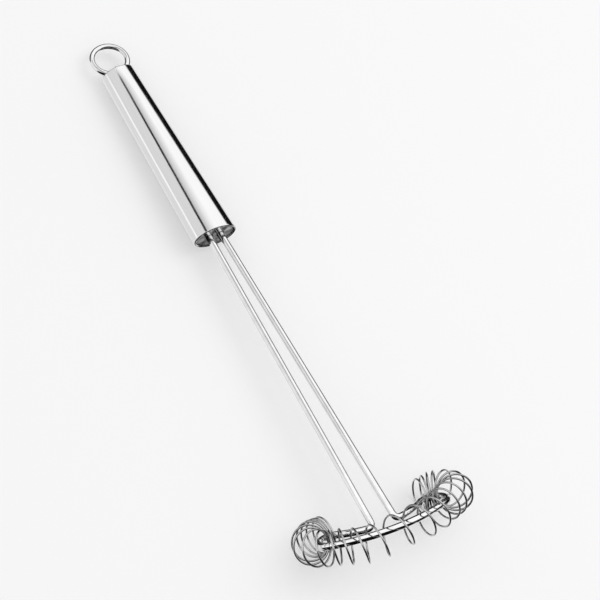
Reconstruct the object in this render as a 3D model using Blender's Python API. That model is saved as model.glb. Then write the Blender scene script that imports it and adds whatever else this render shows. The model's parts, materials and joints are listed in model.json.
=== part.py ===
"""Coil whisk: an oval steel handle, one bent wire frame and a wire coil threaded on its head.

Everything is drawn in the tool's own frame and then laid down as one:
+X runs along the handle towards the head, +Y across the head, +Z up from the plane of the stems,
and the tool's zero point is the middle of the handle's wide end. Metres throughout.
The finished whisk lies on Z = 0, on the narrow end of the handle and on the coil.
"""
import math

import bmesh
import bpy
from mathutils import Matrix, Vector

MM = 0.001

# Handle: an oval tapered tube
HANDLE_LENGTH = 98.7 * MM
WIDE_HALF_WIDTH = 10.5 * MM
WIDE_HALF_DEPTH = 7.0 * MM
NARROW_HALF_WIDTH = 8.05 * MM
NARROW_HALF_DEPTH = 6.3 * MM
HANDLE_WALL = 1.0 * MM
HANDLE_RIM_RADIUS = 0.45 * MM
HANDLE_SIDES = 40

# Caps let into the two ends of the handle
STEM_CAP_INSET = 0.5 * MM
STEM_CAP_THICKNESS = 1.5 * MM
RING_CAP_INSET = 2.4 * MM
RING_CAP_THICKNESS = 1.2 * MM
CAP_EDGE_BEVEL = 0.25 * MM

# Wire frame: stems, arms, lobes and front in one bent wire
FRAME_WIRE = 3.3 * MM
STEM_INSERT = 22.0 * MM
STEM_SPACING_AT_CAP = FRAME_WIRE + 2.3 * MM
FOOT_SPACING = 10.7 * MM
STEM_LEAN = 1.1 * MM
STEM_LENGTH = 158.2 * MM
FOOT_BEND = 3.2 * MM
LOOP_PITCH = math.radians(45.5)
LOOP_DEPTH = 9.5 * MM
FRONT_RADIUS = 58.0 * MM
LOBE_RADIUS = 6.2 * MM
LOBE_ANGLE = math.radians(28.0)
WELD_HEIGHT = 1.6 * MM
WELD_LIP = 0.55 * MM

# Coil
COIL_DIAMETER = 16.2 * MM
COIL_WIRE = 0.9 * MM
COIL_ROOM = COIL_DIAMETER / 2 - COIL_WIRE - FRAME_WIRE / 2  # how far the coil can hang off centre
COIL_OFFSET = 0.685 * COIL_ROOM
FRONT_MID_PITCH = 12.0 * MM
FRONT_END_PITCH = 3.9 * MM
LOBE_PITCH = 4.3 * MM
LOBE_TURN = math.radians(145.0)
TAIL_RADIUS = 14.0 * MM
TAIL_LENGTH = 1.44 * COIL_ROOM
TAIL_PITCH = 2.2 * MM

# How far the coil hangs below the loop's plane, and how far its two balls are pushed above it
COIL_SAG = 0.324 * COIL_ROOM
SAG_MIDDLE = -15.0 * MM
SAG_REACH = 19.0 * MM
COIL_LIFT_LEFT = 0.144 * COIL_ROOM
COIL_LIFT_RIGHT = 0.396 * COIL_ROOM
LIFT_START = 14.0 * MM
LIFT_RUN = 16.0 * MM
LIFT_TAIL = 8.0 * MM

# Hanging ring and the staple that holds it
RING_DIAMETER = 19.0 * MM
RING_WIRE = 2.6 * MM
RING_PIVOT_OUT = 0.4 * MM
STAPLE_WIRE = 1.6 * MM
STAPLE_TAIL = 1.6 * MM

# Clearances between pieces that touch
FIT = 0.3 * MM

# How finely round things are divided, and how close two corners are to be one
WELD_DISTANCE = 0.001 * MM
FRAME_STEP = 2.2 * MM
FRAME_SIDES = 10
COIL_POINTS_PER_TURN = 13
COIL_SIDES = 5
RING_SIDES = 10
RING_STEPS = 36
BORE_SIDES = 20

STEEL_BRUSHED = ("brushed_stainless", (0.62, 0.63, 0.64), 0.32)
STEEL_POLISHED = ("polished_stainless", (0.72, 0.72, 0.73), 0.08)
STEEL_WIRE = ("drawn_steel_wire", (0.66, 0.66, 0.67), 0.14)
STEEL_SPRING = ("spring_steel", (0.50, 0.50, 0.51), 0.20)
STEEL_WELD = ("weld_steel", (0.40, 0.40, 0.41), 0.45)


def clear_scene():
    for item in list(bpy.data.objects):
        bpy.data.objects.remove(item, do_unlink=True)


def steel(finish):
    """One Principled material for each finish, shared by the pieces that have it."""
    name, colour, roughness = finish
    material = bpy.data.materials.get(name)
    if material is None:
        material = bpy.data.materials.new(name)
        material.use_nodes = True
        shader = material.node_tree.nodes["Principled BSDF"]
        shader.inputs["Base Color"].default_value = (*colour, 1.0)
        shader.inputs["Metallic"].default_value = 1.0
        shader.inputs["Roughness"].default_value = roughness
    return material


def add_object(name, data, finish, parent):
    piece = bpy.data.objects.new(name, data)
    bpy.context.scene.collection.objects.link(piece)
    piece.data.materials.append(steel(finish))
    piece.parent = parent
    return piece


def mesh_object(name, bm, finish, parent):
    """Turns a bmesh into a smooth-shaded object, its faces pointing out."""
    bmesh.ops.recalc_face_normals(bm, faces=bm.faces)
    mesh = bpy.data.meshes.new(name)
    bm.to_mesh(mesh)
    bm.free()
    mesh.shade_smooth()
    mesh.set_sharp_from_angle(angle=math.radians(35.0))
    return add_object(name, mesh, finish, parent)


def wire_object(name, points, diameter, sides, finish, parent):
    """A round wire with closed ends along a list of points."""
    curve = bpy.data.curves.new(name, "CURVE")
    curve.dimensions = "3D"
    curve.bevel_mode = "ROUND"
    curve.bevel_depth = diameter / 2
    curve.bevel_resolution = sides // 2 - 2
    curve.use_fill_caps = True
    curve.twist_mode = "MINIMUM"
    spline = curve.splines.new("POLY")
    spline.points.add(len(points) - 1)
    for slot, point in zip(spline.points, points):
        slot.co = (*point, 1.0)
    return add_object(name, curve, finish, parent)


# ---------------------------------------------------------------- handle and caps

def handle_half_size(x, inward=0.0):
    """Half width and half depth of the handle's outside at x, less a distance inward."""
    along = (x + HANDLE_LENGTH) / HANDLE_LENGTH
    half_width = NARROW_HALF_WIDTH + (WIDE_HALF_WIDTH - NARROW_HALF_WIDTH) * along
    half_depth = NARROW_HALF_DEPTH + (WIDE_HALF_DEPTH - NARROW_HALF_DEPTH) * along
    return half_width - inward, half_depth - inward


def oval_loft(outline, closed):
    """A skin through the handle's ovals at a list of (x, inward), closed into a ring or capped."""
    bm = bmesh.new()
    ring = bmesh.ops.create_circle(bm, segments=HANDLE_SIDES, radius=1.0)["verts"]
    unit = [Vector((0.0, vert.co.x, vert.co.y)) for vert in ring]
    edges = bm.edges[:]
    stations = outline + outline[:1] if closed else outline
    for number, (x, inward) in enumerate(stations):
        if number > 0:
            made = bmesh.ops.extrude_edge_only(bm, edges=edges)["geom"]
            edges = [item for item in made if isinstance(item, bmesh.types.BMEdge)]
            ring = [item for item in made if isinstance(item, bmesh.types.BMVert)]
        half_width, half_depth = handle_half_size(x, inward)
        for vert, place in zip(ring, unit):
            vert.co = Vector((x, place.y * half_width, place.z * half_depth))
    if closed:
        bmesh.ops.remove_doubles(bm, verts=bm.verts, dist=WELD_DISTANCE)
    else:
        bmesh.ops.holes_fill(bm, edges=bm.edges, sides=0)
    return bm


def handle_tube(parent):
    """Tapered oval tube: its outside, a rounded rim at each end, and its inside."""
    rim = HANDLE_RIM_RADIUS
    bevel = rim * (1.0 - math.cos(math.radians(45.0)))
    outline = []
    for end, inwards in ((-HANDLE_LENGTH, 1), (0.0, -1)):
        corner = [(end + inwards * rim, 0.0), (end + inwards * bevel, bevel), (end, rim)]
        bore = [(end, HANDLE_WALL)]
        outline += corner[::-1] if inwards == 1 else corner + bore
    outline.append((-HANDLE_LENGTH, HANDLE_WALL))
    return mesh_object("handle_tube", oval_loft(outline, closed=True), STEEL_BRUSHED, parent)


def cap_blank(name, outer_x, thickness, towards, parent):
    """An oval disc that fits the tube's mouth; towards is +1 if its outer face looks along +X."""
    inner_x = outer_x - towards * thickness
    loose = HANDLE_WALL + FIT
    outline = [
        (inner_x, loose),
        (outer_x - towards * CAP_EDGE_BEVEL, loose),
        (outer_x, loose + CAP_EDGE_BEVEL),
    ]
    return mesh_object(name, oval_loft(outline, closed=False), STEEL_POLISHED, parent)


def drill(piece, name, centre, radius, depth, parent):
    """Cuts a round hole along X through a piece."""
    bm = bmesh.new()
    bmesh.ops.create_cone(bm, cap_ends=True, segments=BORE_SIDES, radius1=radius, radius2=radius,
                          depth=depth)
    bmesh.ops.rotate(bm, cent=(0, 0, 0), matrix=Matrix.Rotation(math.radians(90.0), 3, "Y"),
                     verts=bm.verts)
    bmesh.ops.translate(bm, vec=centre, verts=bm.verts)
    cutter = mesh_object(name, bm, STEEL_POLISHED, parent)
    cutter.hide_render = True
    cutter.display_type = "WIRE"
    cut = piece.modifiers.new(name, "BOOLEAN")
    cut.operation = "DIFFERENCE"
    cut.solver = "EXACT"
    cut.object = cutter


def stem_end_cap(parent):
    thickness = STEM_CAP_THICKNESS
    cap = cap_blank("stem_end_cap", -STEM_CAP_INSET, thickness, 1, parent)
    middle = -STEM_CAP_INSET - thickness / 2
    for side, label in ((-1, "left"), (1, "right")):
        centre = (middle, stem_across(middle, side), 0.0)
        drill(cap, f"stem_hole_{label}", centre, FRAME_WIRE / 2 + FIT, 2 * thickness, parent)
    return cap


def ring_end_cap(parent):
    thickness = RING_CAP_THICKNESS
    outer_x = -HANDLE_LENGTH + RING_CAP_INSET
    cap = cap_blank("ring_end_cap", outer_x, thickness, -1, parent)
    for side, label in ((-1, "lower"), (1, "upper")):
        centre = (outer_x + thickness / 2, 0.0, side * staple_arch_radius())
        drill(cap, f"staple_hole_{label}", centre, STAPLE_WIRE / 2 + FIT, 2 * thickness, parent)
    return cap


# ---------------------------------------------------------------- wire frame

def stem_across(x, side):
    """Where a stem is across the tool at x: the two spread evenly, and both lean to the left."""
    along = x / STEM_LENGTH
    half = STEM_SPACING_AT_CAP / 2 + (FOOT_SPACING - STEM_SPACING_AT_CAP) / 2 * along
    return side * half - STEM_LEAN * along


def in_loop(across, forward, below=0.0):
    """A point of the head's loop: across the head, forward in the loop's plane, below the plane."""
    sine, cosine = math.sin(LOOP_PITCH), math.cos(LOOP_PITCH)
    x = STEM_LENGTH + forward * cosine + below * sine
    return Vector((x, across, forward * sine - below * cosine))


class HeadLoop:
    """Half of the kidney-shaped loop, as three arcs that run into each other.

    The front arc starts on the centre line, the lobe turns back, and the arm curves in to the foot.
    Angles are measured from straight forward towards the side. foot is the stem's distance from
    the centre line at the arm's end.
    """

    def __init__(self, foot):
        self.foot = foot
        self.front_centre = (0.0, LOOP_DEPTH - FRONT_RADIUS)
        reach = FRONT_RADIUS - LOBE_RADIUS
        self.lobe_centre = (
            reach * math.sin(LOBE_ANGLE),
            self.front_centre[1] + reach * math.cos(LOBE_ANGLE),
        )
        self.arm_centre = (0.0, self.arm_centre_forward())
        self.arm_radius = math.hypot(foot, self.arm_centre[1])
        towards_arm = math.atan2(-self.lobe_centre[0], self.arm_centre[1] - self.lobe_centre[1])
        self.lobe_end = towards_arm + 2 * math.pi
        self.arm_start = self.lobe_end - math.pi
        self.arm_end = math.atan2(foot, -self.arm_centre[1])

    def arm_centre_forward(self):
        """Where the arm's arc is centred so that it meets the foot and touches the lobe."""
        across, forward = self.lobe_centre
        spare = across ** 2 + forward ** 2 - self.foot ** 2 - LOBE_RADIUS ** 2
        a = 4 * (forward ** 2 - LOBE_RADIUS ** 2)
        b = -4 * spare * forward
        c = spare ** 2 - (2 * LOBE_RADIUS * self.foot) ** 2
        root = math.sqrt(b ** 2 - 4 * a * c)
        return min((-b - root) / (2 * a), (-b + root) / (2 * a))

    def arcs(self, offset):
        """The three arcs moved outwards by offset: centre, radius, first angle, last angle."""
        return (
            (self.front_centre, FRONT_RADIUS + offset, 0.0, LOBE_ANGLE),
            (self.lobe_centre, LOBE_RADIUS + offset, LOBE_ANGLE, self.lobe_end),
            (self.arm_centre, self.arm_radius - offset, self.arm_start, self.arm_end),
        )


def arc_points(arc, step):
    """Points along one arc, its first point left out."""
    (across, forward), radius, first, last = arc
    count = max(2, math.ceil(abs(last - first) * radius / step))
    angles = [first + (last - first) * i / count for i in range(1, count + 1)]
    return [(across + radius * math.sin(a), forward + radius * math.cos(a)) for a in angles]


def rounded_corner(before, corner, after, reach, count=7):
    """Points of a smooth bend that replaces a corner, from reach before it to reach after it."""
    start = corner + (before - corner).normalized() * reach
    finish = corner + (after - corner).normalized() * reach
    points = []
    for i in range(count + 1):
        t = i / count
        points.append(start * (1 - t) ** 2 + corner * 2 * t * (1 - t) + finish * t ** 2)
    return points


def frame_half(side):
    """One side of the frame, from the middle of the front wire to the stem's hidden end."""
    loop = HeadLoop(abs(stem_across(STEM_LENGTH, side)))
    flat = [(0.0, LOOP_DEPTH)]
    for arc in loop.arcs(0.0):
        flat += arc_points(arc, FRAME_STEP)
    path = [in_loop(side * across, forward) for across, forward in flat]
    foot = path[-1]
    while (path[-1] - foot).length < FOOT_BEND:
        path.pop()
    hidden_end = Vector((-STEM_INSERT, stem_across(-STEM_INSERT, side), 0.0))
    path += rounded_corner(path[-1], foot, hidden_end, FOOT_BEND)
    return path + [hidden_end]


def whisk_frame(parent):
    points = frame_half(-1)[::-1] + frame_half(1)[1:]
    return wire_object("whisk_frame", points, FRAME_WIRE, FRAME_SIDES, STEEL_WIRE, parent)


def stem_weld(name, side, parent):
    """A weld bead round a stem, behind the cap."""
    front = -STEM_CAP_INSET - STEM_CAP_THICKNESS - FIT
    inner = FRAME_WIRE / 2 + FIT
    profile = [(0.0, inner), (0.0, inner + WELD_LIP), (-WELD_HEIGHT, inner + WELD_LIP / 3),
               (-WELD_HEIGHT, inner)]
    centre = Vector((front, stem_across(front - WELD_HEIGHT / 2, side), 0.0))
    bm = bmesh.new()
    verts = [bm.verts.new(centre + Vector((x, 0.0, radius))) for x, radius in profile]
    edges = [bm.edges.new((verts[i], verts[(i + 1) % len(verts)])) for i in range(len(verts))]
    bmesh.ops.spin(bm, geom=verts + edges, cent=centre, axis=(1, 0, 0), dvec=(0, 0, 0),
                   angle=2 * math.pi, steps=BORE_SIDES, use_merge=True, use_duplicate=False)
    return mesh_object(name, bm, STEEL_WELD, parent)


# ---------------------------------------------------------------- coil

def coil_pitch(part, share):
    """The coil's pitch on a part of its path, share of the way along it from the middle."""
    if part == 0:
        return FRONT_MID_PITCH + (FRONT_END_PITCH - FRONT_MID_PITCH) * share
    return LOBE_PITCH if part == 1 else TAIL_PITCH


def coil_arcs():
    """Half of the coil's path: outside the front wire, round the lobe, and a straighter tail."""
    front, (centre, radius, first, _), _ = HeadLoop(FOOT_SPACING / 2).arcs(COIL_OFFSET)
    back = radius - TAIL_RADIUS
    tail_centre = (centre[0] + back * math.sin(LOBE_TURN), centre[1] + back * math.cos(LOBE_TURN))
    tail = (tail_centre, TAIL_RADIUS, LOBE_TURN, LOBE_TURN + TAIL_LENGTH / TAIL_RADIUS)
    return front, (centre, radius, first, LOBE_TURN), tail


def coil_half():
    """One side of the coil's centre line, as (distance, turns, across, forward, outward)."""
    rows = [(0.0, 0.0, 0.0, LOOP_DEPTH + COIL_OFFSET, (0.0, 1.0))]
    for part, (centre, radius, first, last) in enumerate(coil_arcs()):
        length = (last - first) * radius
        count = math.ceil(length / (COIL_WIRE / 4))
        for i in range(1, count + 1):
            share = i / count
            angle = first + (last - first) * share
            aim = (math.sin(angle), math.cos(angle))
            distance = rows[-1][0] + length / count
            turns = rows[-1][1] + length / count / coil_pitch(part, share - 0.5 / count)
            rows.append((distance, turns, centre[0] + radius * aim[0],
                         centre[1] + radius * aim[1], aim))
    return rows


def smooth_step(value):
    """Runs smoothly from 0 to 1 as value does."""
    value = min(max(value, 0.0), 1.0)
    return value * value * (3.0 - 2.0 * value)


def coil_drop(distance, length):
    """How far the coil's centre line is below the loop's plane, at a distance from the middle."""
    sag = COIL_SAG * (1.0 - smooth_step(abs(distance - SAG_MIDDLE) / SAG_REACH))
    lift = COIL_LIFT_RIGHT if distance > 0 else COIL_LIFT_LEFT
    rise = smooth_step((abs(distance) - LIFT_START) / LIFT_RUN)
    fall = smooth_step((length - abs(distance)) / LIFT_TAIL)
    return sag - lift * rise * fall


def blend_rows(before, after, share):
    """A row of coil_half between two others."""
    numbers = [a + (b - a) * share for a, b in zip(before[:4], after[:4])]
    aim = [a + (b - a) * share for a, b in zip(before[4], after[4])]
    return (*numbers, aim)


def coil_spring(parent):
    """The coil: a helix round a centre line that follows the loop, from one side to the other."""
    half = coil_half()
    mirrored = [(-d, -t, -across, forward, (-aim[0], aim[1]))
                for d, t, across, forward, aim in half[:0:-1]]
    rows = mirrored + half
    length, last_turn = rows[-1][:2]
    count = math.ceil(2 * last_turn * COIL_POINTS_PER_TURN)
    radius = (COIL_DIAMETER - COIL_WIRE) / 2
    points = []
    row = 0
    for i in range(count + 1):
        turns = last_turn * (2 * i / count - 1)
        while row < len(rows) - 2 and rows[row + 1][1] < turns:
            row += 1
        share = (turns - rows[row][1]) / (rows[row + 1][1] - rows[row][1])
        distance, _, across, forward, aim = blend_rows(rows[row], rows[row + 1], share)
        phase = 2 * math.pi * turns
        out = radius * math.cos(phase)
        points.append(in_loop(across + aim[0] * out, forward + aim[1] * out,
                              coil_drop(distance, length) + radius * math.sin(phase)))
    return wire_object("coil_spring", points, COIL_WIRE, COIL_SIDES, STEEL_SPRING, parent)


# ---------------------------------------------------------------- ring and staple

def ring_pivot():
    """The middle of the ring's wire where it passes through the staple."""
    return Vector((-HANDLE_LENGTH - RING_PIVOT_OUT, 0.0, 0.0))


def staple_arch_radius():
    return (RING_WIRE + STAPLE_WIRE) / 2 + FIT


def ring_staple(parent):
    """A bent wire: two legs through the cap, joined by an arch round the ring's wire."""
    pivot = ring_pivot()
    radius = staple_arch_radius()
    tail_x = -HANDLE_LENGTH + RING_CAP_INSET + RING_CAP_THICKNESS + STAPLE_TAIL
    points = [Vector((tail_x, 0.0, radius))]
    for i in range(BORE_SIDES // 2 + 1):
        angle = math.pi * i / (BORE_SIDES // 2)
        points.append(pivot + Vector((-math.sin(angle), 0.0, math.cos(angle))) * radius)
    points.append(Vector((tail_x, 0.0, -radius)))
    return wire_object("ring_staple", points, STAPLE_WIRE, 8, STEEL_WIRE, parent)


def hanging_ring(parent):
    """A closed wire ring; its origin is on the line that it swings about."""
    major = (RING_DIAMETER - RING_WIRE) / 2
    bm = bmesh.new()
    made = bmesh.ops.create_circle(bm, segments=RING_SIDES, radius=RING_WIRE / 2)
    bmesh.ops.rotate(bm, cent=(0, 0, 0), matrix=Matrix.Rotation(math.radians(90.0), 3, "Y"),
                     verts=made["verts"])
    bmesh.ops.rotate(bm, cent=(0, 0, 0), matrix=Matrix.Rotation(math.radians(90.0), 3, "Z"),
                     verts=made["verts"])
    centre = Vector((-major, 0.0, 0.0))
    bmesh.ops.spin(bm, geom=bm.verts[:] + bm.edges[:], cent=centre, axis=(0, 0, 1),
                   dvec=(0, 0, 0), angle=2 * math.pi, steps=RING_STEPS, use_merge=True,
                   use_duplicate=False)
    ring = mesh_object("hanging_ring", bm, STEEL_WIRE, parent)
    ring.location = ring_pivot()
    return ring


# ---------------------------------------------------------------- laying the whisk down

def solid_points(pieces):
    """Every corner of the evaluated pieces, in the world."""
    bpy.context.view_layer.update()
    graph = bpy.context.evaluated_depsgraph_get()
    points = []
    for piece in pieces:
        shown = piece.evaluated_get(graph)
        mesh = shown.to_mesh()
        points += [shown.matrix_world @ vert.co for vert in mesh.vertices]
        shown.to_mesh_clear()
    return points


def lay_down(tool, pieces):
    """Tips the tool until the handle's narrow end and the coil share one level, and sets it on Z = 0.

    The tilt is the slope of the line that touches both from below.
    """
    points = solid_points(pieces)
    heel = min((p for p in points if p.x < -HANDLE_LENGTH / 2), key=lambda p: p.z)
    for _ in range(3):
        toe = max((p for p in points if p.x > STEM_LENGTH / 2),
                  key=lambda p: (heel.z - p.z) / (p.x - heel.x))
        slope = (heel.z - toe.z) / (toe.x - heel.x)
        heel = min((p for p in points if p.x < -HANDLE_LENGTH / 2), key=lambda p: p.z + p.x * slope)
    tool.rotation_euler.y = -math.atan(slope)
    points = solid_points(pieces)
    tool.location.x = -(min(p.x for p in points) + max(p.x for p in points)) / 2
    tool.location.z = -min(p.z for p in points)


def build():
    clear_scene()
    tool = bpy.data.objects.new("tool", None)
    bpy.context.scene.collection.objects.link(tool)
    pieces = [
        handle_tube(tool),
        stem_end_cap(tool),
        ring_end_cap(tool),
        ring_staple(tool),
        hanging_ring(tool),
        whisk_frame(tool),
        coil_spring(tool),
        stem_weld("stem_weld_left", -1, tool),
        stem_weld("stem_weld_right", 1, tool),
    ]
    lay_down(tool, pieces)


build()
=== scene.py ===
"""The look of an all-steel coil whisk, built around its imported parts."""
import json
import math

import bmesh
import bpy
from bpy.props import FloatProperty, FloatVectorProperty, IntProperty, PointerProperty
from bpy.types import Operator, Panel, PropertyGroup
from mathutils import Matrix, Vector


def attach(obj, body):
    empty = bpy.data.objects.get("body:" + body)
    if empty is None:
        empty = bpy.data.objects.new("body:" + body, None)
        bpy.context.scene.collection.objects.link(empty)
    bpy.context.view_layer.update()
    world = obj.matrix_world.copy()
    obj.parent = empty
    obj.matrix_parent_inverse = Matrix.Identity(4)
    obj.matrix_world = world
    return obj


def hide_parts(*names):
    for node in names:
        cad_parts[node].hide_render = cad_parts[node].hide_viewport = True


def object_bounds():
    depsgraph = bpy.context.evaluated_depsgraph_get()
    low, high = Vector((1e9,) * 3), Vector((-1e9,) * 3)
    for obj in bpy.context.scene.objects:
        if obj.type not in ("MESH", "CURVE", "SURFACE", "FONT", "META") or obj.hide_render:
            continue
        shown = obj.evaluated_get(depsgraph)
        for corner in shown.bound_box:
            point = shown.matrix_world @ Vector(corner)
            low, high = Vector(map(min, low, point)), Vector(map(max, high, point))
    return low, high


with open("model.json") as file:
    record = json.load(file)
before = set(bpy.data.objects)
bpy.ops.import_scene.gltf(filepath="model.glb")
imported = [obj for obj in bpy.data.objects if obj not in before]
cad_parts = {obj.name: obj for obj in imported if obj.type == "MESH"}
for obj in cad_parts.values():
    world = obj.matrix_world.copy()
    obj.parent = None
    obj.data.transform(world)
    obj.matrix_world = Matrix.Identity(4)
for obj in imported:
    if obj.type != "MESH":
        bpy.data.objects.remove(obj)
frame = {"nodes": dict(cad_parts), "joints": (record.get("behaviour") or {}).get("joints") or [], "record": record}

bl_info = {
    "name": "Coil Whisk",
    "version": (1, 0, 0),
    "blender": (4, 5, 0),
    "location": "View3D > Sidebar > Whisk",
    "description": "Builds a steel coil whisk piece by piece, with its finishes and a plain studio",
    "category": "Add Mesh",
}

MM = 0.001
CAD_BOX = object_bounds()

FACE_MOUNT = Vector((-0.5, 0.0, 4.2)) * MM  # the cap's mount, from the middle of the handle's end
SAME_PLACE = 0.001 * MM  # points this close are one point
WIRE_STEP = 0.5 * MM  # along the frame wire's arcs

# The studio. Places are in metres, and glows are what the steel reflects of white.
CAMERA_AZIMUTH = math.radians(-44.16)
CAMERA_ELEVATION = math.radians(55.77)
CAMERA_ROLL = math.radians(19.486)
CAMERA_DISTANCE = 1.2168
CAMERA_LENS = 166.93
CAMERA_TARGET = Vector((17.28, 17.02, -0.37)) * MM  # from the middle of the whisk's box
LAMP_PLACE = Vector((0.15, 0.75, 1.1))  # from the middle of the whisk's box
LAMP_SIZE = 1.0
LAMP_WATTS = 3.5
PAPER_HALF_WIDTH = 3.0
ROOM_LIGHT = 0.80
TENT_GLOW = 1.44
PAPER_GLOW = 1.05
DARK_GLOW = 0.005
FRONT_GAP = Vector((0.90, -0.30, -0.10))
CARD_NEAR = Vector((-0.40, -0.045, 0.30))
CARD_FAR = Vector((-0.05, -0.177, 0.30))
LEFT_CARD_GLOW = 1.02
LEFT_CARD_WIDTH = 1.4
SLIT_WIDTH = 0.052
FADE_WIDTH = 0.168
FADE_GLOW = 0.75


# ---------------------------------------------------------------- where the whisk lies

def tool_place():
    """The whisk's own frame: +X along the handle, zero at the middle of the handle's wide end."""
    mounts = {mount["name"]: mount for mount in frame["record"]["mounts"]}
    face = mounts["handle_end_face"]
    axis = Vector(face["axis"])
    turn = Matrix.Rotation(-math.atan2(axis.z, axis.x), 4, "Y")
    zero = Vector(face["pos_m"]) - turn.to_3x3() @ FACE_MOUNT
    return Matrix.Translation(zero) @ turn


TOOL = tool_place()


# ---------------------------------------------------------------- sizes and colours

def length_size(name, description, millimetres):
    return FloatProperty(name=name, description=description, default=millimetres * MM, min=0.0,
                         subtype="DISTANCE", unit="LENGTH", precision=4)


def turn_size(name, description, degrees):
    return FloatProperty(name=name, description=description, default=math.radians(degrees),
                         subtype="ANGLE", unit="ROTATION")


def linear(code):
    """An sRGB hex colour as linear RGB."""
    channels = [int(code[i:i + 2], 16) / 255 for i in (1, 3, 5)]
    return [c / 12.92 if c <= 0.04045 else ((c + 0.055) / 1.055) ** 2.4 for c in channels]


def colour(name, description, code):
    return FloatVectorProperty(name=name, description=description, default=linear(code), size=3,
                               min=0.0, max=1.0, subtype="COLOR")


class HandleSizes(PropertyGroup):
    length: length_size("Length", "Grip from end to end", 98.7)
    wide_half_width: length_size("Wide half width", "Half the wide end's long axis", 10.5)
    wide_half_depth: length_size("Wide half depth", "Half the wide end's short axis", 7.0)
    narrow_half_width: length_size("Narrow half width", "Half the ring end's long axis", 8.05)
    narrow_half_depth: length_size("Narrow half depth", "Half the ring end's short axis", 6.3)
    wall: length_size("Wall", "Thickness of the tube, whose two rims are rolled round", 1.0)
    sides: IntProperty(name="Sides", description="Steps round the oval", default=144, min=12)


class FrameSizes(PropertyGroup):
    wire: length_size("Wire", "Diameter of the stem and loop wire", 3.3)
    insert: length_size("Insert", "Stem inside the handle", 22.0)
    spacing_at_cap: length_size("Spacing at cap", "Stem to stem at the handle", 5.6)
    foot_spacing: length_size("Foot spacing", "Stem to stem at the head", 10.7)
    stem_lean: length_size("Stem lean", "How far the stems lean to the left at the head", 1.1)
    stem_length: length_size("Stem length", "Handle to head", 158.2)
    foot_bend: length_size("Foot bend", "Reach of the bend from stem to loop", 3.2)
    loop_pitch: turn_size("Loop pitch", "How steeply the loop rises from the stems", 45.5)
    loop_depth: length_size("Loop depth", "From the feet forward to the front wire", 9.5)
    front_radius: length_size("Front radius", "Curve of the front wire", 58.0)
    lobe_radius: length_size("Lobe radius", "Curve of the two ends of the loop", 6.2)
    lobe_angle: turn_size("Lobe angle", "Where the front wire runs into the lobe", 28.0)


class CoilSizes(PropertyGroup):
    diameter: length_size("Diameter", "Outside of the coil", 16.2)
    wire: length_size("Wire", "Diameter of the coil's wire", 0.9)
    offset: length_size("Offset", "How far the coil hangs outside the loop's wire", 3.8)
    mid_pitch: length_size("Middle pitch", "Turn to turn at the middle of the front", 12.0)
    end_pitch: length_size("End pitch", "Turn to turn where the front meets the lobe", 3.9)
    lobe_pitch: length_size("Lobe pitch", "Turn to turn round the lobe", 4.3)
    lobe_turn: turn_size("Lobe turn", "How far round the lobe the coil goes before its tail", 145.0)
    tail_radius: length_size("Tail radius", "Curve of the coil's two tails", 14.0)
    tail_length: length_size("Tail length", "Run of each tail", 8.0)
    tail_pitch: length_size("Tail pitch", "Turn to turn in the tails", 2.2)
    sag: length_size("Sag", "How far the front run hangs below the loop", 1.8)
    sag_middle: FloatProperty(name="Sag middle", description="Where it hangs lowest", default=-15 * MM,
                              subtype="DISTANCE", unit="LENGTH")
    sag_reach: length_size("Sag reach", "How far the hanging run goes either way", 19.0)
    lift_left: length_size("Left lift", "How far the left ball stands above the loop", 0.8)
    lift_right: length_size("Right lift", "How far the right ball stands above the loop", 2.2)
    lift_start: length_size("Lift start", "Where the coil starts to rise", 14.0)
    lift_run: length_size("Lift run", "How long it takes to rise", 16.0)
    points: IntProperty(name="Points", description="Points on each turn", default=44, min=8)


class RingSizes(PropertyGroup):
    diameter: length_size("Diameter", "Outside of the hanging ring", 19.0)
    wire: length_size("Wire", "Diameter of the ring's wire", 2.6)
    staple_wire: length_size("Staple wire", "Diameter of the staple's wire", 1.6)
    gap: length_size("Gap", "Play between the ring and its staple", 0.3)
    tail: length_size("Staple leg", "Length of the staple's legs inside the handle", 5.2)


class FinishColours(PropertyGroup):
    brushed: colour("Brushed steel", "Grip", "#D6D6D6")
    polished: colour("Polished steel", "End caps", "#DADADA")
    drawn: colour("Drawn wire", "Stems, loop, ring and staple", "#D8D8D8")
    spring: colour("Spring wire", "Coil", "#B0B0B0")
    weld: colour("Weld", "Beads behind the cap", "#8E8A84")
    weld_heat: colour("Weld heat", "Straw patches on the beads", "#A58C62")
    floor: colour("Floor", "Paper that the whisk lies on", "#CFCFCF")


class WhiskSettings(PropertyGroup):
    handle: PointerProperty(type=HandleSizes)
    frame: PointerProperty(type=FrameSizes)
    coil: PointerProperty(type=CoilSizes)
    ring: PointerProperty(type=RingSizes)
    finish: PointerProperty(type=FinishColours)


# ---------------------------------------------------------------- finishes

def node(tree, kind, settings=None, **inputs):
    """Adds a node, sets its settings, and gives inputs a value or another node's output.

    An input is named with _ for a space, or i0, i1 and so on for its number.
    """
    item = tree.nodes.new(kind)
    for key, value in (settings or {}).items():
        setattr(item, key, value)
    for key, value in inputs.items():
        numbered = key[0] == "i" and key[1:].isdigit()
        socket = item.inputs[int(key[1:]) if numbered else key.replace("_", " ")]
        if isinstance(value, bpy.types.NodeSocket):
            tree.links.new(value, socket)
        else:
            socket.default_value = value
    return item


def steel_base(name, tint):
    """A metal material, its tree, its shader and the piece's coordinates in the whisk's own frame."""
    material = bpy.data.materials.new(name)
    material.use_nodes = True
    tree = material.node_tree
    shader = tree.nodes["Principled BSDF"]
    shader.inputs["Metallic"].default_value = 1.0
    shader.inputs["Base Color"].default_value = (*tint, 1.0)
    place = node(tree, "ShaderNodeTexCoord").outputs["Object"]
    return material, tree, shader, place


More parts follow.
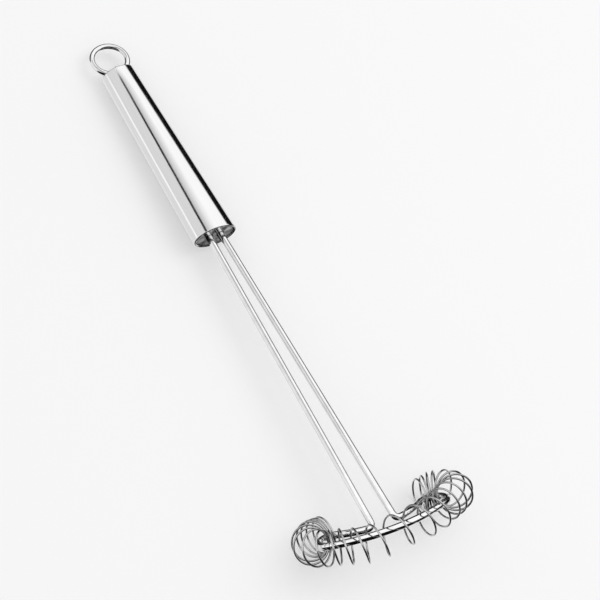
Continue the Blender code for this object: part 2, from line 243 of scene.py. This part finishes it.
def stretched(tree, place, size):
    """Coordinates counted in cells of a real size, turned with the handle."""
    turn = TOOL.to_euler()
    return node(tree, "ShaderNodeMapping", {"vector_type": "TEXTURE"}, Vector=place,
                Location=TOOL.translation, Rotation=turn, Scale=size).outputs["Vector"]


def noise(tree, place, size, detail=2.0, roughness=0.5):
    """Noise from 0 to 1 whose cells have a real size."""
    return node(tree, "ShaderNodeTexNoise", Vector=stretched(tree, place, size), Scale=1.0,
                Detail=detail, Roughness=roughness).outputs["Fac"]


def ranged(tree, value, low, high, to_low, to_high):
    return node(tree, "ShaderNodeMapRange", Value=value, From_Min=low, From_Max=high,
                To_Min=to_low, To_Max=to_high).outputs["Result"]


def maths(tree, operation, first, second):
    return node(tree, "ShaderNodeMath", {"operation": operation}, i0=first, i1=second).outputs[0]


def tinted(tree, value, tint, depth):
    """The finish's colour, a little darker where the value is low."""
    dark = [c * (1.0 - depth) for c in tint]
    return node(tree, "ShaderNodeMix", {"data_type": "RGBA"}, i0=value, i6=(*dark, 1.0),
                i7=(*tint, 1.0)).outputs[2]


def brushed_stainless(tint):
    """Stainless tube, drawn and then brushed very finely along its length.

    The eye sees long hairlines of 0.2 mm, wider faint streaks left by the belt, and slow clouds
    where the brushing bit harder. The hairlines blur reflections round the grip, not along it.
    """
    material, tree, shader, place = steel_base("brushed_stainless_tube", tint)
    hairline = noise(tree, place, (22 * MM, 0.22 * MM, 0.22 * MM), 3.0, 0.6)
    streak = noise(tree, place, (60 * MM, 1.1 * MM, 1.1 * MM), 2.0)
    cloud = noise(tree, place, (14 * MM, 7 * MM, 7 * MM), 3.0)
    worn = maths(tree, "ADD", ranged(tree, streak, 0.3, 0.7, 0.0, 0.03),
                 ranged(tree, cloud, 0.3, 0.7, 0.0, 0.03))
    rough = maths(tree, "ADD", worn, ranged(tree, hairline, 0.25, 0.75, 0.05, 0.11))
    tree.links.new(rough, shader.inputs["Roughness"])
    tree.links.new(tinted(tree, ranged(tree, hairline, 0.3, 0.7, 0, 1), tint, 0.07),
                   shader.inputs["Base Color"])
    bump = node(tree, "ShaderNodeBump", Strength=0.10, Distance=0.02 * MM, Height=hairline)
    tree.links.new(bump.outputs["Normal"], shader.inputs["Normal"])
    return material


def polished_stainless(tint):
    """Stainless sheet pressed to a disc and buffed to a soft shine.

    The eye sees soft reflections that wander a little, because buffing leaves the disc very
    slightly wavy over 3 to 4 mm, with hair-thin marks that are duller.
    """
    material, tree, shader, place = steel_base("polished_stainless_disc", tint)
    wave = noise(tree, place, (3.6 * MM, 3.6 * MM, 3.6 * MM), 0.0)
    mark = noise(tree, place, (0.3 * MM, 5 * MM, 0.25 * MM), 2.0)
    tree.links.new(ranged(tree, mark, 0.35, 0.75, 0.15, 0.25), shader.inputs["Roughness"])
    wavy = node(tree, "ShaderNodeBump", Strength=0.5, Distance=0.25 * MM, Height=wave)
    tree.links.new(wavy.outputs["Normal"], shader.inputs["Normal"])
    return material


def drawn_wire(name, tint, low, high, cloud_size):
    """Stainless wire drawn through a die and electropolished after bending.

    The eye sees a bright skin with faint clouds of duller metal about as long as the wire is
    thick, and a very fine orange-peel of 0.2 mm left by the die and the polish.
    """
    material, tree, shader, place = steel_base(name, tint)
    cloud = noise(tree, place, (cloud_size,) * 3, 3.0, 0.55)
    peel = noise(tree, place, (0.22 * MM, 0.22 * MM, 0.22 * MM), 1.0)
    tree.links.new(ranged(tree, cloud, 0.3, 0.7, low, high), shader.inputs["Roughness"])
    tree.links.new(tinted(tree, ranged(tree, cloud, 0.25, 0.6, 0, 1), tint, 0.10),
                   shader.inputs["Base Color"])
    skin = node(tree, "ShaderNodeBump", Strength=0.06, Distance=0.01 * MM, Height=peel)
    tree.links.new(skin.outputs["Normal"], shader.inputs["Normal"])
    return material


def weld_steel(tint, heat_tint):
    """A weld bead left as it cooled.

    The eye sees a dull, rippled metal with straw and grey heat colours in patches of about 1 mm.
    """
    material, tree, shader, place = steel_base("as_welded_bead", tint)
    ripple = noise(tree, place, (0.35 * MM, 0.9 * MM, 0.9 * MM), 2.0)
    heat = noise(tree, place, (1.1 * MM, 1.1 * MM, 1.1 * MM), 2.0)
    straw = node(tree, "ShaderNodeMix", {"data_type": "RGBA"}, i0=ranged(tree, heat, 0.4, 0.65, 0, 1),
                 i6=(*tint, 1.0), i7=(*heat_tint, 1.0)).outputs[2]
    tree.links.new(straw, shader.inputs["Base Color"])
    tree.links.new(ranged(tree, heat, 0.3, 0.7, 0.38, 0.6), shader.inputs["Roughness"])
    bead = node(tree, "ShaderNodeBump", Strength=0.6, Distance=0.12 * MM, Height=ripple)
    tree.links.new(bead.outputs["Normal"], shader.inputs["Normal"])
    return material


def backdrop_paper(tint):
    """Matt white studio paper lit a little from below, with the faintest mottling of about 2 mm."""
    material = bpy.data.materials.new("backdrop_paper")
    material.use_nodes = True
    tree = material.node_tree
    shader = tree.nodes["Principled BSDF"]
    shader.inputs["Roughness"].default_value = 0.9
    shader.inputs["Specular IOR Level"].default_value = 0.1
    shader.inputs["Emission Color"].default_value = (1.0, 1.0, 1.0, 1.0)
    shader.inputs["Emission Strength"].default_value = 0.35
    place = node(tree, "ShaderNodeTexCoord").outputs["Object"]
    fibre = node(tree, "ShaderNodeTexNoise", Vector=place, Scale=1 / (2 * MM), Detail=2.0)
    tree.links.new(tinted(tree, fibre.outputs["Fac"], tint, 0.012), shader.inputs["Base Color"])
    return material


# ---------------------------------------------------------------- making pieces

def finish_piece(piece, material, body, slot, *nodes):
    """Gives a new piece its finish and its body, and hides the parts that it stands for."""
    piece.data.materials.clear()
    piece.data.materials.append(material)
    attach(piece, body)
    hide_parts(*nodes)
    return piece


def mesh_piece(name, bm, sharp=40.0):
    """A smooth-shaded piece from a bmesh drawn in the whisk's own frame."""
    bmesh.ops.transform(bm, matrix=TOOL, verts=bm.verts)
    bmesh.ops.recalc_face_normals(bm, faces=bm.faces)
    mesh = bpy.data.meshes.new(name)
    bm.to_mesh(mesh)
    bm.free()
    mesh.shade_smooth()
    mesh.set_sharp_from_angle(angle=math.radians(sharp))
    piece = bpy.data.objects.new(name, mesh)
    bpy.context.scene.collection.objects.link(piece)
    return piece


def wire_piece(name, points, diameter, resolution):
    """A round wire with closed ends along points of the whisk's own frame, made a mesh."""
    curve = bpy.data.curves.new(name, "CURVE")
    curve.dimensions = "3D"
    curve.bevel_mode = "ROUND"
    curve.bevel_depth = diameter / 2
    curve.bevel_resolution = resolution
    curve.use_fill_caps = True
    curve.twist_mode = "MINIMUM"
    spline = curve.splines.new("POLY")
    spline.points.add(len(points) - 1)
    for place, point in zip(spline.points, points):
        place.co = (*(TOOL @ point), 1.0)
    draft = bpy.data.objects.new(name + "_draft", curve)
    bpy.context.scene.collection.objects.link(draft)
    bpy.context.view_layer.update()
    mesh = bpy.data.meshes.new_from_object(draft.evaluated_get(bpy.context.evaluated_depsgraph_get()))
    bpy.data.objects.remove(draft)
    bpy.data.curves.remove(curve)
    bm = bmesh.new()
    bm.from_mesh(mesh)
    bpy.data.meshes.remove(mesh)
    bmesh.ops.remove_doubles(bm, verts=bm.verts, dist=SAME_PLACE)
    bmesh.ops.transform(bm, matrix=TOOL.inverted(), verts=bm.verts)
    return mesh_piece(name, bm, 60.0)


def settings():
    return bpy.context.scene.whisk


def stem_across(x, side):
    """Where a stem is across the whisk at x: the two spread evenly, and both lean to the left."""
    sizes = settings().frame
    along = x / sizes.stem_length
    half = sizes.spacing_at_cap / 2 + (sizes.foot_spacing - sizes.spacing_at_cap) / 2 * along
    return side * half - sizes.stem_lean * along


def in_loop(across, forward, below=0.0):
    """A point of the head's loop: across the head, forward in the loop's plane, below the plane."""
    sizes = settings().frame
    sine, cosine = math.sin(sizes.loop_pitch), math.cos(sizes.loop_pitch)
    x = sizes.stem_length + forward * cosine + below * sine
    return Vector((x, across, forward * sine - below * cosine))


def loop_arcs(offset, foot):
    """Half of the loop as three arcs: front, lobe and arm, each (centre, radius, first, last).

    Angles are measured from straight forward towards the side, offset moves the arcs outwards, and
    foot is the stem's distance from the centre line.
    """
    sizes = settings().frame
    lobe = sizes.lobe_radius
    front_centre = (0.0, sizes.loop_depth - sizes.front_radius)
    reach = sizes.front_radius - lobe
    across = reach * math.sin(sizes.lobe_angle)
    forward = front_centre[1] + reach * math.cos(sizes.lobe_angle)
    spare = across ** 2 + forward ** 2 - foot ** 2 - lobe ** 2
    a = 4 * (forward ** 2 - lobe ** 2)
    b = -4 * spare * forward
    c = spare ** 2 - (2 * lobe * foot) ** 2
    root = math.sqrt(b ** 2 - 4 * a * c)
    arm_forward = min((-b - root) / (2 * a), (-b + root) / (2 * a))
    arm_radius = math.hypot(foot, arm_forward)
    lobe_end = math.atan2(-across, arm_forward - forward) + 2 * math.pi
    arm_end = math.atan2(foot, -arm_forward)
    return (
        (front_centre, sizes.front_radius + offset, 0.0, sizes.lobe_angle),
        ((across, forward), lobe + offset, sizes.lobe_angle, lobe_end),
        ((0.0, arm_forward), arm_radius - offset, lobe_end - math.pi, arm_end),
    )


def arc_points(arc, step):
    """Points along one arc, its first point left out."""
    (across, forward), radius, first, last = arc
    count = max(2, math.ceil(abs(last - first) * radius / step))
    angles = [first + (last - first) * i / count for i in range(1, count + 1)]
    return [(across + radius * math.sin(a), forward + radius * math.cos(a)) for a in angles]


def frame_half(side):
    """One side of the frame wire, from the middle of the front to the stem's hidden end."""
    sizes = settings().frame
    flat = [(0.0, sizes.loop_depth)]
    for arc in loop_arcs(0.0, abs(stem_across(sizes.stem_length, side))):
        flat += arc_points(arc, WIRE_STEP)
    path = [in_loop(side * across, forward) for across, forward in flat]
    foot = path[-1]
    while (path[-1] - foot).length < sizes.foot_bend:
        path.pop()
    hidden_end = Vector((-sizes.insert, stem_across(-sizes.insert, side), 0.0))
    start = path[-1]
    finish = foot + (hidden_end - foot).normalized() * sizes.foot_bend
    bend = 16
    for i in range(1, bend + 1):
        t = i / bend
        path.append(start * (1 - t) ** 2 + foot * 2 * t * (1 - t) + finish * t ** 2)
    stem = 40
    return path + [finish.lerp(hidden_end, i / stem) for i in range(1, stem + 1)]


def coil_half():
    """One side of the coil's centre line, as (distance, turns, across, forward, outward)."""
    sizes = settings().coil
    front, (centre, radius, first, _), _ = loop_arcs(sizes.offset, settings().frame.foot_spacing / 2)
    turn = sizes.lobe_turn
    back = radius - sizes.tail_radius
    tail_centre = (centre[0] + back * math.sin(turn), centre[1] + back * math.cos(turn))
    tail = (tail_centre, sizes.tail_radius, turn, turn + sizes.tail_length / sizes.tail_radius)
    pitches = ((sizes.mid_pitch, sizes.end_pitch), (sizes.lobe_pitch,) * 2, (sizes.tail_pitch,) * 2)
    rows = [(0.0, 0.0, 0.0, settings().frame.loop_depth + sizes.offset, 0.0, 1.0)]
    for arc, pitch in zip((front, (centre, radius, first, turn), tail), pitches):
        middle, bend, start, end = arc
        run = (end - start) * bend
        count = math.ceil(run / (sizes.wire / 4))
        for i in range(1, count + 1):
            angle = start + (end - start) * i / count
            rate = pitch[0] + (pitch[1] - pitch[0]) * (i - 0.5) / count
            rows.append((rows[-1][0] + run / count, rows[-1][1] + run / count / rate,
                         middle[0] + bend * math.sin(angle), middle[1] + bend * math.cos(angle),
                         math.sin(angle), math.cos(angle)))
    return rows


def smooth_step(value):
    """Runs smoothly from 0 to 1 as value does."""
    value = min(max(value, 0.0), 1.0)
    return value * value * (3.0 - 2.0 * value)


def coil_drop(distance, length):
    """How far the coil's centre line is below the loop's plane, at a distance from the middle."""
    sizes = settings().coil
    sag = sizes.sag * (1.0 - smooth_step(abs(distance - sizes.sag_middle) / sizes.sag_reach))
    lift = sizes.lift_right if distance > 0 else sizes.lift_left
    rise = smooth_step((abs(distance) - sizes.lift_start) / sizes.lift_run)
    fall = smooth_step((length - abs(distance)) / sizes.tail_length)
    return sag - lift * rise * fall


def coil_points():
    """The coil's wire: a helix round its centre line, from one tail to the other."""
    sizes = settings().coil
    half = coil_half()
    rows = [(-d, -t, -across, forward, -aim, ahead) for d, t, across, forward, aim, ahead in half[:0:-1]]
    rows += half
    length, last_turn = rows[-1][:2]
    count = math.ceil(2 * last_turn * sizes.points)
    radius = (sizes.diameter - sizes.wire) / 2
    points = []
    row = 0
    for i in range(count + 1):
        turns = last_turn * (2 * i / count - 1)
        while row < len(rows) - 2 and rows[row + 1][1] < turns:
            row += 1
        before, after = rows[row], rows[row + 1]
        share = (turns - before[1]) / (after[1] - before[1])
        distance, _, across, forward, aim, ahead = [a + (b - a) * share for a, b in zip(before, after)]
        out = radius * math.cos(2 * math.pi * turns)
        drop = coil_drop(distance, length) + radius * math.sin(2 * math.pi * turns)
        points.append(in_loop(across + aim * out, forward + ahead * out, drop))
    return points


# ---------------------------------------------------------------- operators

class WHISK_OT_handle(Operator):
    """Builds the oval grip, its two rims rolled round, and finishes the caps at its ends"""
    bl_idname = "whisk.handle"
    bl_label = "Handle and Caps"

    def outline(self, sizes):
        """Stations along the tube, as (x, distance inward): outside, rim, inside, rim."""
        half_wall = sizes.wall / 2
        steps = 10
        stations = []
        for end, way in ((0.0, 1), (-sizes.length, -1)):
            for i in range(steps + 1):
                angle = math.pi * i / steps
                inward = half_wall * (1 - way * math.cos(angle))
                stations.append((end - way * half_wall * (1 - math.sin(angle)), inward))
        return stations

    def execute(self, context):
        sizes = settings().handle
        finish = settings().finish
        bm = bmesh.new()
        ring = bmesh.ops.create_circle(bm, segments=sizes.sides, radius=1.0)["verts"]
        bmesh.ops.rotate(bm, cent=(0, 0, 0), matrix=Matrix.Rotation(math.pi / 2, 3, "Y"), verts=ring)
        unit = [vert.co.copy() for vert in ring]
        edges = bm.edges[:]
        stations = self.outline(sizes)
        for number, (x, inward) in enumerate(stations + stations[:1]):
            if number > 0:
                made = bmesh.ops.extrude_edge_only(bm, edges=edges)["geom"]
                edges = [item for item in made if isinstance(item, bmesh.types.BMEdge)]
                ring = [item for item in made if isinstance(item, bmesh.types.BMVert)]
            along = 1.0 + x / sizes.length
            width = sizes.narrow_half_width + (sizes.wide_half_width - sizes.narrow_half_width) * along
            depth = sizes.narrow_half_depth + (sizes.wide_half_depth - sizes.narrow_half_depth) * along
            for vert, place in zip(ring, unit):
                vert.co = Vector((x, place.y * (width - inward), place.z * (depth - inward)))
        bmesh.ops.remove_doubles(bm, verts=bm.verts, dist=SAME_PLACE)
        tube = mesh_piece("handle_grip", bm, 60.0)
        finish_piece(tube, brushed_stainless(finish.brushed), "whisk", "brushed_stainless",
                     "handle_tube")
        disc = polished_stainless(finish.polished)
        bead = weld_steel(finish.weld, finish.weld_heat)
        for name, material in (("stem_end_cap", disc), ("ring_end_cap", disc),
                               ("stem_weld_left", bead), ("stem_weld_right", bead)):
            frame["nodes"][name].data.materials.clear()
            frame["nodes"][name].data.materials.append(material)
        return {"FINISHED"}


class WHISK_OT_wire_frame(Operator):
    """Bends the stems, arms, lobes and front from one wire"""
    bl_idname = "whisk.wire_frame"
    bl_label = "Wire Frame"

    def execute(self, context):
        points = frame_half(-1)[::-1] + frame_half(1)[1:]
        piece = wire_piece("frame_wire", points, settings().frame.wire, 10)
        material = drawn_wire("drawn_frame_wire", settings().finish.drawn, 0.05, 0.10, 5 * MM)
        finish_piece(piece, material, "whisk", "drawn_steel_wire", "whisk_frame")
        return {"FINISHED"}


class WHISK_OT_coil(Operator):
    """Winds the coil round the head's loop"""
    bl_idname = "whisk.coil"
    bl_label = "Coil"

    def execute(self, context):
        piece = wire_piece("wound_coil", coil_points(), settings().coil.wire, 4)
        material = drawn_wire("spring_wire", settings().finish.spring, 0.08, 0.16, 3 * MM)
        finish_piece(piece, material, "whisk", "spring_steel", "coil_spring")
        return {"FINISHED"}


class WHISK_OT_ring(Operator):
    """Forms the hanging ring and the staple that it swings in"""
    bl_idname = "whisk.ring"
    bl_label = "Hanging Ring"

    def execute(self, context):
        sizes = settings().ring
        joint = {item["name"]: item for item in frame["joints"]}["ring_swing"]
        pivot = TOOL.inverted() @ Vector(joint["pos_m"])
        material = drawn_wire("drawn_ring_wire", settings().finish.drawn, 0.05, 0.11, 4 * MM)
        major = (sizes.diameter - sizes.wire) / 2
        bm = bmesh.new()
        bmesh.ops.create_circle(bm, segments=32, radius=sizes.wire / 2)
        bmesh.ops.rotate(bm, cent=(0, 0, 0), matrix=Matrix.Rotation(math.pi / 2, 3, "X"),
                         verts=bm.verts)
        bmesh.ops.spin(bm, geom=bm.verts[:] + bm.edges[:], cent=(-major, 0, 0), axis=(0, 0, 1),
                       dvec=(0, 0, 0), angle=2 * math.pi, steps=120, use_merge=True,
                       use_duplicate=False)
        bmesh.ops.translate(bm, vec=pivot, verts=bm.verts)
        ring = mesh_piece("hanging_ring_wire", bm, 60.0)
        finish_piece(ring, material, "ring", "drawn_steel_wire", "hanging_ring")
        arch = (sizes.wire + sizes.staple_wire) / 2 + sizes.gap
        tail = pivot.x + sizes.tail + sizes.gap
        steps = 24
        points = [Vector((tail, 0.0, arch))]
        for i in range(steps + 1):
            angle = math.pi * i / steps
            points.append(pivot + Vector((-math.sin(angle), 0.0, math.cos(angle))) * arch)
        points.append(Vector((tail, 0.0, -arch)))
        staple = wire_piece("ring_staple_wire", points, sizes.staple_wire, 6)
        finish_piece(staple, material, "whisk", "drawn_steel_wire", "ring_staple")
        return {"FINISHED"}


class WHISK_OT_stage(Operator):
    """Sets up the paper floor, the soft light and the camera"""
    bl_idname = "whisk.stage"
    bl_label = "Stage"

    def floor(self):
        bm = bmesh.new()
        bmesh.ops.create_grid(bm, x_segments=2, y_segments=2, size=PAPER_HALF_WIDTH)
        mesh = bpy.data.meshes.new("paper_floor")
        bm.to_mesh(mesh)
        bm.free()
        paper = bpy.data.objects.new("paper_floor", mesh)
        mesh.materials.append(backdrop_paper(settings().finish.floor))
        bpy.context.scene.collection.objects.link(paper)
        paper.visible_glossy = False

    def surroundings(self):
        """White tent overhead, a pale floor below, and dark gaps to the front, right and back."""
        world = bpy.data.worlds.new("studio")
        bpy.context.scene.world = world
        world.use_nodes = True
        tree = world.node_tree
        tree.nodes.clear()
        way = node(tree, "ShaderNodeTexCoord").outputs["Generated"]
        parts = node(tree, "ShaderNodeSeparateXYZ", Vector=way).outputs
        front = node(tree, "ShaderNodeVectorMath", {"operation": "DOT_PRODUCT"}, i0=way,
                     i1=FRONT_GAP.normalized()).outputs["Value"]
        front = ranged(tree, front, 0.36, 0.44, 0.0, 1.0)
        level = maths(tree, "MULTIPLY", ranged(tree, parts["Z"], -0.26, -0.20, 0.0, 1.0),
                      ranged(tree, parts["Z"], 0.34, 0.42, 1.0, 0.0))
        right = maths(tree, "MULTIPLY", level, ranged(tree, parts["Y"], 0.3, 0.5, 0.0, 1.0))
        back = maths(tree, "MULTIPLY", ranged(tree, parts["X"], -0.80, -0.66, 1.0, 0.0),
                     ranged(tree, parts["Z"], 0.36, 0.46, 1.0, 0.0))
        dark = maths(tree, "MAXIMUM", maths(tree, "MAXIMUM", front, right), back)
        tent = ranged(tree, parts["Z"], -0.05, 0.05, PAPER_GLOW, TENT_GLOW)
        shown = maths(tree, "ADD", maths(tree, "MULTIPLY", tent, maths(tree, "SUBTRACT", 1.0, dark)),
                      DARK_GLOW)
        glossy = node(tree, "ShaderNodeLightPath").outputs["Is Glossy Ray"]
        strength = node(tree, "ShaderNodeMix", {"data_type": "FLOAT"}, i0=glossy, i2=ROOM_LIGHT,
                        i3=shown).outputs[0]
        light = node(tree, "ShaderNodeBackground", Color=(1.0, 1.0, 1.0, 1.0), Strength=strength)
        node(tree, "ShaderNodeOutputWorld", Surface=light.outputs["Background"])

    def card(self, name, left_glow, right_glow, left, right, start=0.0):
        """A reflector card over the whisk that only shows in its steel.

        It runs beside the line from CARD_NEAR, or from start of the way, to CARD_FAR. Its edges are
        left and right of that line, and its light changes evenly from one to the other.
        """
        bm = bmesh.new()
        bm.loops.layers.uv.new("card")
        bmesh.ops.create_grid(bm, x_segments=1, y_segments=1, size=0.5, calc_uvs=True)
        for vert in bm.verts:
            across, along = vert.co.x + 0.5, vert.co.y + 0.5
            edge = CARD_NEAR.lerp(CARD_FAR, start + (1.0 - start) * along)
            vert.co = edge + Vector((0.0, left + (right - left) * across, 0.0))
        mesh = bpy.data.meshes.new(name)
        bm.to_mesh(mesh)
        bm.free()
        card = bpy.data.objects.new(name, mesh)
        bpy.context.scene.collection.objects.link(card)
        material = bpy.data.materials.new(name)
        material.use_nodes = True
        tree = material.node_tree
        tree.nodes.clear()
        across = node(tree, "ShaderNodeSeparateXYZ",
                      Vector=node(tree, "ShaderNodeTexCoord").outputs["UV"]).outputs["X"]
        shine = node(tree, "ShaderNodeEmission",
                     Strength=ranged(tree, across, 0.0, 1.0, left_glow, right_glow))
        node(tree, "ShaderNodeOutputMaterial", Surface=shine.outputs["Emission"])
        mesh.materials.append(material)
        card.visible_camera = False
        card.visible_diffuse = False
        card.visible_shadow = False

    def lamp(self, name, place, target, size, watts):
        """A round soft light that doesn't show in the steel."""
        data = bpy.data.lights.new(name, "AREA")
        data.shape = "DISK"
        data.size = size
        data.energy = watts
        lamp = bpy.data.objects.new(name, data)
        bpy.context.scene.collection.objects.link(lamp)
        lamp.location = place
        lamp.rotation_euler = (target - place).to_track_quat("-Z", "Y").to_euler()
        lamp.visible_glossy = False

    def camera(self, target):
        """Looks down on the head from the front left, with the handle leaning away."""
        level = math.cos(CAMERA_ELEVATION)
        outward = Vector((level * math.cos(CAMERA_AZIMUTH), level * math.sin(CAMERA_AZIMUTH),
                          math.sin(CAMERA_ELEVATION)))
        data = bpy.data.cameras.new("camera")
        data.sensor_width = 36.0
        data.lens = CAMERA_LENS
        data.clip_start = 0.05
        camera = bpy.data.objects.new("camera", data)
        bpy.context.scene.collection.objects.link(camera)
        camera.location = target + outward * CAMERA_DISTANCE
        upright = outward.to_track_quat("Z", "Y").to_matrix().to_4x4()
        camera.rotation_euler = (upright @ Matrix.Rotation(CAMERA_ROLL, 4, "Z")).to_euler()
        bpy.context.scene.camera = camera

    def execute(self, context):
        low, high = CAD_BOX
        middle = (Vector(low) + Vector(high)) / 2
        self.floor()
        self.surroundings()
        self.card("left_card", LEFT_CARD_GLOW, LEFT_CARD_GLOW, -LEFT_CARD_WIDTH, 0.0, start=-2.0)
        self.card("slit_card", 0.0, 0.0, 0.0, SLIT_WIDTH)
        self.card("fade_card", FADE_GLOW, TENT_GLOW, SLIT_WIDTH, SLIT_WIDTH + FADE_WIDTH)
        self.lamp("soft_key", middle + LAMP_PLACE, middle, LAMP_SIZE, LAMP_WATTS)
        self.camera(middle + CAMERA_TARGET)
        bpy.context.scene.view_settings.view_transform = "Standard"
        return {"FINISHED"}


class WHISK_PT_panel(Panel):
    """The whisk's sizes, its colours and the steps that build it"""
    bl_idname = "WHISK_PT_panel"
    bl_label = "Coil Whisk"
    bl_space_type = "VIEW_3D"
    bl_region_type = "UI"
    bl_category = "Whisk"

    def draw(self, context):
        for title, group in (("Handle", settings().handle), ("Frame", settings().frame),
                             ("Coil", settings().coil), ("Ring", settings().ring),
                             ("Colours", settings().finish)):
            box = self.layout.box()
            box.label(text=title)
            for key in group.bl_rna.properties.keys():
                if key not in ("rna_type", "name"):
                    box.prop(group, key)
        for operator in OPERATORS:
            self.layout.operator(operator.bl_idname)


GROUPS = (HandleSizes, FrameSizes, CoilSizes, RingSizes, FinishColours, WhiskSettings)
OPERATORS = (WHISK_OT_handle, WHISK_OT_wire_frame, WHISK_OT_coil, WHISK_OT_ring, WHISK_OT_stage)
CLASSES = GROUPS + OPERATORS + (WHISK_PT_panel,)


def register():
    for item in CLASSES:
        bpy.utils.register_class(item)
    bpy.types.Scene.whisk = PointerProperty(type=WhiskSettings)


def unregister():
    del bpy.types.Scene.whisk
    for item in reversed(CLASSES):
        bpy.utils.unregister_class(item)


def main():
    register()
    bpy.ops.whisk.handle()
    bpy.ops.whisk.wire_frame()
    bpy.ops.whisk.coil()
    bpy.ops.whisk.ring()
    bpy.ops.whisk.stage()


if __name__ == "__main__":
    main()
